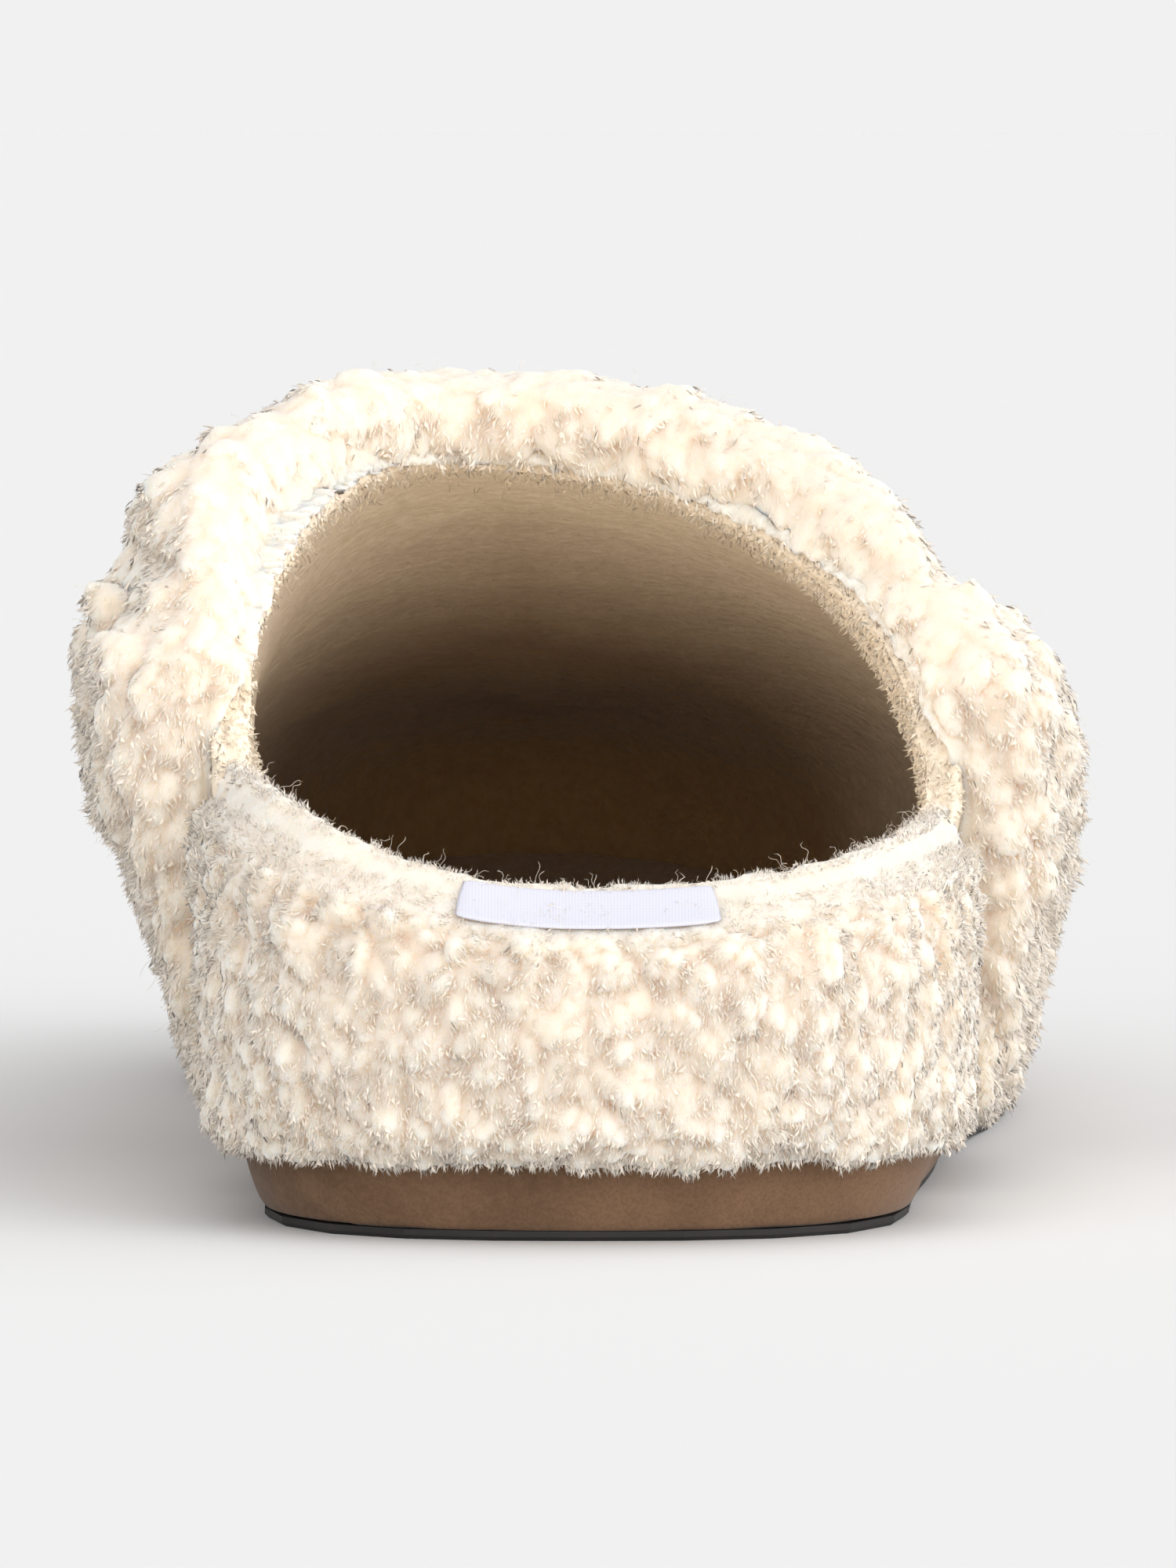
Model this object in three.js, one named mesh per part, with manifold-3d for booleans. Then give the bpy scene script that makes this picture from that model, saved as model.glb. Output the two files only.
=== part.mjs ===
// Sheepskin clog slipper for the right foot, in millimetres, +Z up, toe toward +Y, outer side +X.
// The origin is on the floor under the middle of the heel seat.

import * as THREE from 'three';
import { mergeVertices } from 'three/addons/utils/BufferGeometryUtils.js';
import Module from 'manifold-3d';

const wasm = await Module();
wasm.setup();

// Driving sizes of the last
const soleLength = 262;
const ballWidth = 100;
const heelWidth = 74;
const heelSeatSetback = 37;
const toeInset = 8;
const instepHeight = 84;

// Sole
const outsoleThickness = 1.1;
const outsoleSetIn = 0.9;
const outsoleChamfer = 0.45;
const midsoleThickness = 10.6;
const midsoleFlare = 2;
const toeSpring = 8;
const archRise = 1.6;
const insoleThickness = 5.2;
const insoleDish = 1.2;
const insoleRound = 0.8;
const grooveDepth = 0.5;
const grooveWidth = 2.2;
const groovePitch = 8.5;
const grooveEnd = 7;

// Upper
const wall = 3;
const featherSetIn = 1.5;
const upperDrop = 60;

// Wool
const pileSide = 14;
const pileTop = 9.5;
const pileHeelBack = 9;
const pileHeelSeam = 3.2;
const heelRimBack = 39;
const heelRimMedial = 49.5;
const heelRimLateral = 44.5;
const rimCover = 3;
const crestDrop = 5;
const collarHook = 5;
const cuffTopWidth = 44;
const fringeLow = 7;
const fringeRound = 1.6;
const crestRound = 0.9;
const rimRound = 1.2;
const collarRound = 1.6;
const lockLength = 17;
const lockWidth = 11;

// Woven label
const labelWidth = 27.5;
const labelThickness = 0.5;

// Clearances between pieces
const gap = 0.3;
const woolGap = 0.5;
const cuffGap = 1;
const hookClearance = 1.5;

// Plan of the sole. along: share of the sole length from the heel. blend: 0 takes the heel
// width, 1 the ball width. lateral, medial: half widths from the axis as shares of that width.
const PLAN = [
  { along: 0.00, blend: 0.0, lateral: 0.50, medial: 0.50 },
  { along: 0.14, blend: 0.0, lateral: 0.50, medial: 0.50 },
  { along: 0.26, blend: 0.2, lateral: 0.505, medial: 0.44 },
  { along: 0.36, blend: 0.5, lateral: 0.49, medial: 0.365 },
  { along: 0.47, blend: 0.8, lateral: 0.505, medial: 0.37 },
  { along: 0.58, blend: 1.0, lateral: 0.525, medial: 0.42 },
  { along: 0.67, blend: 1.0, lateral: 0.545, medial: 0.455 },
  { along: 0.76, blend: 1.0, lateral: 0.54, medial: 0.46 },
  { along: 0.87, blend: 1.0, lateral: 0.515, medial: 0.445 },
  { along: 1.00, blend: 1.0, lateral: 0.46, medial: 0.41 },
];

// Form of the last over the plan. height: ridge height as a share of the instep height. ridge:
// its offset toward +X. swell: bulge of the outer and inner side. Both are shares of the ball
// width. square: power that sets how square each shoulder is.
const FORM = [
  { along: 0.00, height: 0.88, ridge: 0.00, swellOut: 0.00, swellIn: 0.00, squareOut: 4.0, squareIn: 4.0 },
  { along: 0.10, height: 0.92, ridge: -0.02, swellOut: 0.02, swellIn: 0.02, squareOut: 3.8, squareIn: 4.0 },
  { along: 0.20, height: 0.97, ridge: -0.08, swellOut: 0.05, swellIn: 0.06, squareOut: 3.2, squareIn: 4.2 },
  { along: 0.33, height: 1.00, ridge: -0.16, swellOut: 0.035, swellIn: 0.12, squareOut: 2.5, squareIn: 4.3 },
  { along: 0.42, height: 0.97, ridge: -0.155, swellOut: 0.03, swellIn: 0.11, squareOut: 2.35, squareIn: 3.9 },
  { along: 0.52, height: 0.91, ridge: -0.13, swellOut: 0.03, swellIn: 0.07, squareOut: 2.35, squareIn: 3.2 },
  { along: 0.62, height: 0.83, ridge: -0.10, swellOut: 0.03, swellIn: 0.045, squareOut: 2.4, squareIn: 2.8 },
  { along: 0.74, height: 0.735, ridge: -0.08, swellOut: 0.03, swellIn: 0.03, squareOut: 2.45, squareIn: 2.6 },
  { along: 0.87, height: 0.64, ridge: -0.07, swellOut: 0.025, swellIn: 0.025, squareOut: 2.4, squareIn: 2.5 },
  { along: 1.00, height: 0.57, ridge: -0.07, swellOut: 0.02, swellIn: 0.02, squareOut: 2.4, squareIn: 2.4 },
];
const RIDGE_FROM = 0.12;
const RIDGE_TO = 0.91;

// Seam between cuff and heel panel, throat of the opening, and front edge of the cuff at the
// sole, as shares of the length along the plan.
const SEAM = 0.185;
const THROAT = 0.335;
const FOREFOOT_SEAT = 0.62;
const CUFF_FRONT = 0.385;

// Pile of the cuff by height on the form: 0 at the sole, 1 at the ridge. side, top: the share
// of each pile length. The dip at 0.77 is the crease between side lobe and arch.
const PILE = [
  { height: -0.10, side: 0.34, top: 0.0 },
  { height: 0.00, side: 0.58, top: 0.0 },
  { height: 0.34, side: 0.86, top: 0.0 },
  { height: 0.52, side: 1.00, top: 0.0 },
  { height: 0.64, side: 0.97, top: 0.0 },
  { height: 0.70, side: 0.80, top: 0.0 },
  { height: 0.75, side: 0.44, top: 0.14 },
  { height: 0.81, side: 0.34, top: 0.42 },
  { height: 0.90, side: 0.18, top: 0.86 },
  { height: 1.00, side: 0.00, top: 1.00 },
];

const AXIS_X = new THREE.Vector3(1, 0, 0);
const AXIS_Y = new THREE.Vector3(0, 1, 0);
const AXIS_Z = new THREE.Vector3(0, 0, 1);
const MEDIAL = -1;
const LATERAL = 1;
const HEEL_ROUND = 2.8;
const TOE_ROUND = 2.3;
const TOE_ROUND_SHARE = 0.28;

const HEEL_STEPS = 7;
const COLLAR_STEPS = 8;
const VAMP_STEPS = 14;
const RISE_STEPS = 11;
const HEEL_LOCK_ROWS = 3;
const HEEL_LOCKS = 18;
const CUFF_LOCK_ROWS = 3;
const CUFF_LOCKS = 18;
const CUFF_RISES = [
  -0.09, 0, 0.06, 0.13, 0.2, 0.26, 0.3, 0.34, 0.38, 0.42, 0.47, 0.53, 0.6, 0.68, 0.77, 0.86, 0.93, 1,
];

const GROOVES = 6;

// Rings of the midsole from below: shares of its flare and of its thickness
const BAND_RINGS = [[-0.4, 0], [0.05, 0.09], [0.7, 0.45], [1, 0.8], [0.85, 0.94], [0.45, 1]];

// Rings of the insole from below: shares of its edge round, inward, and of its thickness
const BED_RINGS = [[1, 0], [0, 0.15], [0, 0.75], [1, 0.94], [3, 1]];

const mix = THREE.MathUtils.lerp;
const clamp01 = (t) => THREE.MathUtils.clamp(t, 0, 1);
const ease = (t) => THREE.MathUtils.smoothstep(t, 0, 1);

// Smooth value of one column of a table at a place along its first column
function column(table, key, name, at) {
  const last = table.length - 1;
  let row = 0;
  while (row < last - 1 && at > table[row + 1][key]) row += 1;
  const low = table[row];
  const high = table[row + 1];
  const before = table[Math.max(row - 1, 0)];
  const after = table[Math.min(row + 2, last)];
  const span = high[key] - low[key];
  const t = clamp01((at - low[key]) / span);
  const slopeLow = (high[name] - before[name]) / Math.max(high[key] - before[key], span);
  const slopeHigh = (after[name] - low[name]) / Math.max(after[key] - low[key], span);
  const t2 = t * t;
  const t3 = t2 * t;
  return low[name] * (2 * t3 - 3 * t2 + 1) + high[name] * (3 * t2 - 2 * t3)
    + span * (slopeLow * (t3 - 2 * t2 + t) + slopeHigh * (t3 - t2));
}

// Half outline of the sole on one side, by share of the length
function planPoint(side, along) {
  const width = mix(heelWidth, ballWidth, column(PLAN, 'along', 'blend', along));
  const half = width * column(PLAN, 'along', side === LATERAL ? 'lateral' : 'medial', along);
  const heelDepth = heelWidth / 2 / soleLength;
  const fromHeel = clamp01(1 - along / heelDepth);
  const fromToe = clamp01(1 - (1 - along) / TOE_ROUND_SHARE);
  const heelRound = (1 - fromHeel ** HEEL_ROUND) ** (1 / HEEL_ROUND);
  const toeRound = (1 - fromToe ** TOE_ROUND) ** (1 / TOE_ROUND);
  const axis = -toeInset * ease((along - 0.5) / 0.5);
  return new THREE.Vector2(axis + side * half * heelRound * toeRound, along * soleLength - heelSeatSetback);
}

// Each half outline as a fine polyline with its running length
const FINE = 600;
function measureOutline(side) {
  const points = [];
  const lengths = [0];
  for (let i = 0; i <= FINE; i += 1) {
    points.push(planPoint(side, (1 - Math.cos((Math.PI * i) / FINE)) / 2));
    if (i > 0) lengths.push(lengths[i - 1] + points[i].distanceTo(points[i - 1]));
  }
  return { points, lengths, total: lengths[FINE] };
}
const outlines = { [MEDIAL]: measureOutline(MEDIAL), [LATERAL]: measureOutline(LATERAL) };

// Point at a share of the way round one side, from the heel to the toe
function roundPoint(side, share) {
  const { points, lengths, total } = share < 0 || share > 1 ? outlines[-side] : outlines[side];
  const inside = share < 0 ? -share : share > 1 ? 2 - share : share;
  const target = inside * total;
  let low = 0;
  let high = FINE;
  while (high - low > 1) {
    const middle = (low + high) >> 1;
    if (lengths[middle] > target) high = middle;
    else low = middle;
  }
  const t = clamp01((target - lengths[low]) / (lengths[high] - lengths[low]));
  return points[low].clone().lerp(points[high], t);
}

function edgeAt(side, share) {
  const step = 0.012;
  const point = roundPoint(side, share);
  const tangent = roundPoint(side, share + step).sub(roundPoint(side, share - step)).normalize();
  return { point, normal: new THREE.Vector2(side * tangent.y, -side * tangent.x) };
}

const alongOf = (y) => (y + heelSeatSetback) / soleLength;
const forefootSeat = FOREFOOT_SEAT * soleLength - heelSeatSetback;

// Mean place along the length of the pair of edge points at one share, and its inverse
function meanAlong(share) {
  return (alongOf(roundPoint(MEDIAL, share).y) + alongOf(roundPoint(LATERAL, share).y)) / 2;
}
function shareAt(along) {
  let low = 0;
  let high = 1;
  for (let i = 0; i < 40; i += 1) {
    const middle = (low + high) / 2;
    if (meanAlong(middle) > along) high = middle;
    else low = middle;
  }
  return (low + high) / 2;
}

// Lift of the sole: flat at heel and forefoot, raised at the arch and the toe
function lift(y) {
  const along = alongOf(y);
  const arch = archRise * Math.sin(Math.PI * clamp01((along - 0.29) / 0.2)) ** 2;
  const spring = toeSpring * clamp01((along - 0.74) / 0.26) ** 1.8;
  return arch + spring;
}

const midsoleBottom = outsoleThickness + gap;
const midsoleTop = midsoleBottom + midsoleThickness;
const seat = midsoleTop + gap;
const feather = midsoleFlare - featherSetIn;

const squareness = (side, at) => column(FORM, 'along', side === LATERAL ? 'squareOut' : 'squareIn', at);

// Point of the form. share: way round from heel to toe. rise: 0 at the medial sole edge, 1 on
// the ridge, 2 at the lateral sole edge, and straight down past either edge.
function formPoint(share, rise, offset = 0) {
  const side = rise <= 1 ? MEDIAL : LATERAL;
  const up = rise <= 1 ? rise : 2 - rise;
  const { point, normal } = edgeAt(side, share);
  const base = seat + lift(point.y);
  const start = point.clone().addScaledVector(normal, feather + offset);
  if (up <= 0) return new THREE.Vector3(start.x, start.y, base + up * upperDrop);
  const at = meanAlong(share);
  const power = squareness(side, at);
  const bulge = ballWidth * column(FORM, 'along', side === LATERAL ? 'swellOut' : 'swellIn', at);
  const ridgeX = ballWidth * column(FORM, 'along', 'ridge', at);
  const ridgeY = mix(RIDGE_FROM, RIDGE_TO, at) * soleLength - heelSeatSetback;
  const ridgeZ = instepHeight * column(FORM, 'along', 'height', at) + offset;
  const angle = (up * Math.PI) / 2;
  const inward = 1 - Math.max(Math.cos(angle), 0) ** (2 / power);
  const upward = Math.sin(angle) ** (2 / power);
  const swell = bulge * Math.sin(Math.PI * upward ** 1.6);
  const flat = start.lerp(new THREE.Vector2(ridgeX, ridgeY), inward).addScaledVector(normal, swell);
  return new THREE.Vector3(flat.x, flat.y, mix(base, ridgeZ, upward));
}

// Outward normal of the form
function formNormal(share, rise) {
  const step = 0.01;
  const low = Math.min(Math.max(rise - step, -0.2), 2.2);
  const high = Math.min(Math.max(rise + step, -0.2), 2.2);
  const around = formPoint(share, high).sub(formPoint(share, low));
  const forward = formPoint(share + step, rise).sub(formPoint(share - step, rise));
  return around.cross(forward).normalize();
}

// Rise on one side where the form reaches a height
function riseAtHeight(share, side, z) {
  let low = 0;
  let high = 1;
  for (let i = 0; i < 30; i += 1) {
    const middle = (low + high) / 2;
    const rise = side === MEDIAL ? middle : 2 - middle;
    if (formPoint(share, rise).z > z) high = middle;
    else low = middle;
  }
  return (low + high) / 2;
}

const seamShare = shareAt(SEAM);
const throatShare = shareAt(THROAT);
const frontShareLow = shareAt(CUFF_FRONT);
const frontShareTop = shareAt(THROAT + cuffTopWidth / soleLength / (RIDGE_TO - RIDGE_FROM));

// Top of the heel wool: low behind, at its full height from a part of the way to the seam on
const RIM_FULL = 0.72;
function heelRim(share, side) {
  const high = side === MEDIAL ? heelRimMedial : heelRimLateral;
  return mix(heelRimBack, high, ease(share / seamShare / RIM_FULL) ** 1.2);
}

// Highest rise of the upper on one side at a share of the way round
const seamRise = {
  [MEDIAL]: riseAtHeight(seamShare, MEDIAL, heelRimMedial - rimCover),
  [LATERAL]: riseAtHeight(seamShare, LATERAL, heelRimLateral - rimCover),
};
function collarRise(share, side) {
  if (share <= seamShare) return riseAtHeight(share, side, heelRim(share, side) - rimCover);
  if (share >= throatShare) return 1;
  const t = (share - seamShare) / (throatShare - seamShare);
  return mix(seamRise[side], 1, Math.acos(1 - 2 * t) / Math.PI);
}

// Share at which the collar passes a given rise
function collarShare(up, side) {
  const t = clamp01((up - seamRise[side]) / (1 - seamRise[side]));
  return mix(seamShare, throatShare, (1 - Math.cos(Math.PI * t)) / 2);
}

// Closed solid from lists of corners and triangles
class Body {
  constructor() {
    this.corners = [];
    this.faces = [];
  }

  add(point) {
    this.corners.push(point);
    return this.corners.length - 1;
  }

  row(points) {
    return points.map((point) => this.add(point));
  }

  quad(a, b, c, d) {
    this.faces.push([a, b, c], [a, c, d]);
  }

  // Strip of quads between two rows
  strip(first, second, closed = false) {
    const count = closed ? first.length : first.length - 1;
    for (let i = 0; i < count; i += 1) {
      const j = (i + 1) % first.length;
      this.quad(first[i], first[j], second[j], second[i]);
    }
  }

  geometry() {
    const geometry = new THREE.BufferGeometry();
    const positions = this.corners.flatMap((p) => [p.x, p.y, p.z]);
    geometry.setAttribute('position', new THREE.Float32BufferAttribute(positions, 3));
    geometry.setIndex(this.faces.flat());
    return geometry;
  }
}

function toSolid(geometry) {
  const plain = geometry.clone();
  plain.deleteAttribute('normal');
  plain.deleteAttribute('uv');
  const merged = mergeVertices(plain, 1e-4);
  const index = merged.index.array;
  const triVerts = [];
  for (let i = 0; i < index.length; i += 3) {
    const [a, b, c] = [index[i], index[i + 1], index[i + 2]];
    if (a !== b && b !== c && a !== c) triVerts.push(a, b, c);
  }
  const solid = new wasm.Manifold(new wasm.Mesh({
    numProp: 3,
    vertProperties: new Float32Array(merged.attributes.position.array),
    triVerts: new Uint32Array(triVerts),
  }));
  return solid;
}

function fromSolid(solid) {
  const mesh = solid.getMesh();
  const geometry = new THREE.BufferGeometry();
  geometry.setAttribute('position', new THREE.Float32BufferAttribute(mesh.vertProperties, 3));
  geometry.setIndex(new THREE.Uint32BufferAttribute(mesh.triVerts, 1));
  return geometry;
}

// Shares of the way round that sections stand at
function stations() {
  const list = [];
  for (let i = 0; i < HEEL_STEPS; i += 1) list.push((seamShare * i) / HEEL_STEPS);
  for (let i = 0; i < COLLAR_STEPS; i += 1) {
    list.push(mix(seamShare, throatShare, (1 - Math.cos((Math.PI * i) / COLLAR_STEPS)) / 2));
  }
  for (let i = 0; i <= VAMP_STEPS; i += 1) list.push(mix(throatShare, 1, i / VAMP_STEPS));
  return list;
}
const STATIONS = stations();

// Ring of the plan outline, offset outward, at one height over the lifted sole
function outlineRing(offset, height) {
  const ring = [];
  const last = STATIONS.length - 1;
  const put = (side, share) => {
    const { point, normal } = edgeAt(side, share);
    const z = height + lift(point.y);
    point.addScaledVector(normal, offset);
    ring.push(new THREE.Vector3(point.x, point.y, z));
  };
  for (let i = 0; i <= last; i += 1) put(LATERAL, STATIONS[i]);
  for (let i = last - 1; i > 0; i -= 1) put(MEDIAL, STATIONS[i]);
  return ring;
}

// Plate of stacked outline rings, its top dished across by the given depth
function plate(levels, dish = 0, columns = 1) {
  const body = new Body();
  const rows = levels.map(([offset, height]) => body.row(outlineRing(offset, height)));
  for (let i = 1; i < rows.length; i += 1) body.strip(rows[i - 1], rows[i], true);
  cap(body, rows[0], 0, 1, true);
  cap(body, rows[rows.length - 1], dish, columns, false);
  return body.geometry();
}

// Cap of a ring as a ladder from side to side
function cap(body, ring, dish, columns, facesDown) {
  const half = ring.length / 2;
  const rungs = [];
  for (let i = 0; i <= half; i += 1) {
    const from = ring[i];
    const to = ring[(ring.length - i) % ring.length];
    const rung = [from];
    for (let k = 1; k < columns; k += 1) {
      const t = k / columns;
      const point = body.corners[from].clone().lerp(body.corners[to], t);
      const fade = Math.min(1, Math.min(i, half - i) / 3);
      point.z -= dish * fade * (1 - (2 * t - 1) ** 2);
      rung.push(from === to ? from : body.add(point));
    }
    rung.push(to);
    rungs.push(rung);
  }
  for (let i = 0; i < half; i += 1) {
    if (facesDown) body.strip(rungs[i], rungs[i + 1]);
    else body.strip(rungs[i + 1], rungs[i]);
  }
}

// Outsole with shallow cross grooves in its heel and forefoot, clear of the rim
function makeOutsole() {
  const rim = outsoleSetIn + outsoleChamfer;
  const levels = [[-rim, 0], [-outsoleSetIn, outsoleChamfer], [-outsoleSetIn, outsoleThickness]];
  let solid = toSolid(plate(levels));
  for (const centre of [0, forefootSeat]) {
    for (let i = 0; i < GROOVES; i += 1) {
      const y = centre + (i - (GROOVES - 1) / 2) * groovePitch;
      const share = shareAt(alongOf(y));
      const left = roundPoint(MEDIAL, share).x + rim + grooveEnd;
      const right = roundPoint(LATERAL, share).x - rim - grooveEnd;
      const bar = new THREE.BoxGeometry(right - left, grooveWidth, grooveDepth * 2);
      bar.translate((left + right) / 2, y, 0);
      solid = solid.subtract(toSolid(bar));
    }
  }
  return fromSolid(solid);
}

// Suede-wrapped midsole, drawn in toward the outsole
function makeMidsole() {
  return plate(BAND_RINGS.map(([flare, up]) => [
    midsoleFlare * flare, midsoleBottom + midsoleThickness * up,
  ]));
}

// Footbed inside the upper
function makeInsole() {
  const edge = feather - wall - gap;
  const levels = BED_RINGS.map(([inward, up]) => [edge - insoleRound * inward, seat + insoleThickness * up]);
  return plate(levels, insoleDish, 4);
}

// Upper: one hollow wall round the last, open at the collar and underneath
function makeUpper() {
  const body = new Body();
  const skins = {};
  for (const side of [MEDIAL, LATERAL]) {
    for (const offset of [0, -wall]) {
      skins[[side, offset]] = STATIONS.map((share) => {
        const top = collarRise(share, side);
        const points = [];
        for (let k = 0; k <= RISE_STEPS; k += 1) {
          const up = (top * k) / RISE_STEPS;
          points.push(formPoint(share, side === MEDIAL ? up : 2 - up, offset));
        }
        return body.row(points);
      });
    }
  }
  const throatIndex = HEEL_STEPS + COLLAR_STEPS;
  for (const side of [MEDIAL, LATERAL]) {
    const outer = skins[[side, 0]];
    const inner = skins[[side, -wall]];
    for (let i = 0; i < STATIONS.length - 1; i += 1) {
      const flip = side === LATERAL;
      const join = (first, second) => (flip ? body.strip(second, first) : body.strip(first, second));
      join(outer[i], outer[i + 1]);
      join(inner[i + 1], inner[i]);
      join([inner[i][0], outer[i][0]], [inner[i + 1][0], outer[i + 1][0]]);
      if (i < throatIndex) {
        const k = RISE_STEPS;
        join([outer[i][k], inner[i][k]], [outer[i + 1][k], inner[i + 1][k]]);
      }
    }
  }
  return fromSolid(toSolid(body.geometry()));
}

// Fill the end of a swept section, seen flat along across and up, to face the given way
function fillEnd(body, row, across, up, facing) {
  const shape = row.map((index) => body.corners[index]);
  const flat = shape.map((p) => new THREE.Vector2(p.dot(across), p.dot(up)));
  const faces = THREE.ShapeUtils.triangulateShape(flat, []);
  const total = new THREE.Vector3();
  for (const [a, b, c] of faces) {
    const first = shape[b].clone().sub(shape[a]);
    total.add(first.cross(shape[c].clone().sub(shape[a])));
  }
  const keep = total.dot(facing) > 0;
  for (const [a, b, c] of faces) {
    if (keep) body.faces.push([row[a], row[b], row[c]]);
    else body.faces.push([row[a], row[c], row[b]]);
  }
}

const hash = (n) => {
  const wave = Math.sin(n * 127.1 + 11.7) * 43758.5453;
  return wave - Math.floor(wave);
};

// One lock of wool: a tapered tuft, its root in the pile and its tip lifted off along the nap
function makeLock(root, outward, nap, size) {
  const tip = outward.clone().multiplyScalar(0.42).add(nap).normalize();
  const lock = new THREE.ConeGeometry(lockWidth * 0.5 * size, lockLength * size, 5);
  lock.applyQuaternion(new THREE.Quaternion().setFromUnitVectors(AXIS_Y, tip));
  const centre = root.clone().addScaledVector(outward, -lockWidth * 0.12 * size);
  lock.translate(centre.x, centre.y, centre.z);
  return toSolid(lock);
}

// Heel panel: wool outside the heel of the upper, over its rim, and hanging past the sole edge
function heelSection(share, side) {
  const round = share / seamShare;
  const pile = mix(pileHeelBack, pileHeelSeam, round ** 1.5);
  const rim = heelRim(share, side);
  const edge = rim - rimCover;
  const crest = rim - crestDrop;
  const clear = featherSetIn + woolGap;
  return [
    [woolGap, edge + woolGap],
    [woolGap, mix(seat, edge, 0.7)],
    [woolGap, mix(seat, edge, 0.4)],
    [woolGap, seat + fringeRound],
    [clear, seat - gap],
    [clear + gap, fringeLow + fringeRound],
    [pile * 0.5 + fringeRound, fringeLow],
    [pile * 0.95, fringeLow + 2 * fringeRound],
    [pile, mix(seat, crest, 0.2)],
    [pile * 1.06, mix(seat, crest, 0.5)],
    [pile, mix(seat, crest, 0.8)],
    [pile * 0.86, crest - crestRound],
    [pile * 0.66, crest],
    [pile * 0.4, mix(crest, rim, 0.2)],
    [0, mix(crest, rim, 0.72)],
    [-wall * 0.6, rim],
    [-wall, rim - rimRound],
    [-wall, edge + woolGap],
  ];
}
// Places in that section: foot of the pile, its fullest part, and the crest
const FOOT = 7;
const FULL = 8;
const CREST = 12;
const LABEL_FROM = CREST + 0.2;
const LABEL_TO = CREST + 2.2;

function heelPoint(share, side, out, z) {
  const up = riseAtHeight(share, side, Math.max(z, seat));
  const rise = side === MEDIAL ? up : 2 - up;
  const point = formPoint(share, rise);
  const { normal } = edgeAt(side, share);
  return new THREE.Vector3(point.x + normal.x * out, point.y + normal.y * out, z);
}

function makeHeelPanel() {
  const body = new Body();
  const rows = [];
  const end = seamShare - gap / outlines[MEDIAL].total;
  const addRow = (side, share) => {
    const section = heelSection(share, side);
    rows.push(body.row(section.map(([out, z]) => heelPoint(share, side, out, z))));
  };
  for (let i = HEEL_STEPS; i > 0; i -= 1) addRow(MEDIAL, Math.min(STATIONS[i], end));
  for (let i = 0; i <= HEEL_STEPS; i += 1) addRow(LATERAL, Math.min(STATIONS[i], end));
  for (let i = 1; i < rows.length; i += 1) body.strip(rows[i], rows[i - 1], true);
  for (const row of [rows[0], rows[rows.length - 1]]) fillEnd(body, row, AXIS_X, AXIS_Z, AXIS_Y);
  let solid = toSolid(body.geometry());
  for (let row = 0; row < HEEL_LOCK_ROWS; row += 1) {
    for (let i = 0; i < HEEL_LOCKS; i += 1) {
      const place = i + (row % 2) * 0.5 + 0.3 * hash(row * 31 + i);
      const t = mix(-0.9, 0.9, place / HEEL_LOCKS);
      const side = t < 0 ? MEDIAL : LATERAL;
      const share = Math.abs(t) * end;
      const section = heelSection(share, side);
      const low = section[FOOT][1] + lockLength * 0.18;
      const high = section[CREST][1] - lockLength * 0.35;
      const z = mix(low, high, (row + 0.3 * hash(i)) / (HEEL_LOCK_ROWS - 0.7));
      const { normal } = edgeAt(side, share);
      const outward = new THREE.Vector3(normal.x, normal.y, 0);
      const root = heelPoint(share, side, section[FULL][0], z);
      const nap = AXIS_Z.clone().negate();
      const size = (section[FULL][0] / pileSide) * mix(0.75, 1.05, hash(i + row * 53));
      solid = solid.add(makeLock(root, outward, nap, size));
    }
  }
  return fromSolid(solid);
}

// Label sewn on the sloping top of the heel panel, just behind the rim
function labelPoint(side, share, t, height) {
  const section = heelSection(share, side);
  const stop = mix(LABEL_FROM, LABEL_TO, t);
  const index = Math.floor(stop);
  const out = mix(section[index][0], section[index + 1][0], stop - index);
  const z = mix(section[index][1], section[index + 1][1], stop - index);
  const point = heelPoint(share, side, out, z);
  point.z += height;
  return point;
}

function makeLabel() {
  const body = new Body();
  const columns = 10;
  const rows = [];
  for (let i = 0; i <= columns; i += 1) {
    const across = labelWidth * (i / columns - 0.5);
    const side = across < 0 ? MEDIAL : LATERAL;
    const share = Math.abs(across) / outlines[side].total;
    const low = [0, 0.25, 0.55, 0.8, 1].map((t) => labelPoint(side, share, t, gap));
    const high = [1, 0.8, 0.55, 0.25, 0].map((t) => labelPoint(side, share, t, gap + labelThickness));
    rows.push(body.row([...low, ...high]));
  }
  for (let i = 1; i < rows.length; i += 1) body.strip(rows[i - 1], rows[i], true);
  fillEnd(body, rows[0], AXIS_Y, AXIS_Z, AXIS_X.clone().negate());
  fillEnd(body, rows[columns], AXIS_Y, AXIS_Z, AXIS_X);
  return fromSolid(toSolid(body.geometry()));
}

// Pile of the cuff at a rise on one side
function cuffPile(up, side) {
  const height = up > 0 ? Math.sin((up * Math.PI) / 2) ** (2 / squareness(side, SEAM)) : up;
  return pileSide * column(PILE, 'height', 'side', height)
    + pileTop * column(PILE, 'height', 'top', height);
}

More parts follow.
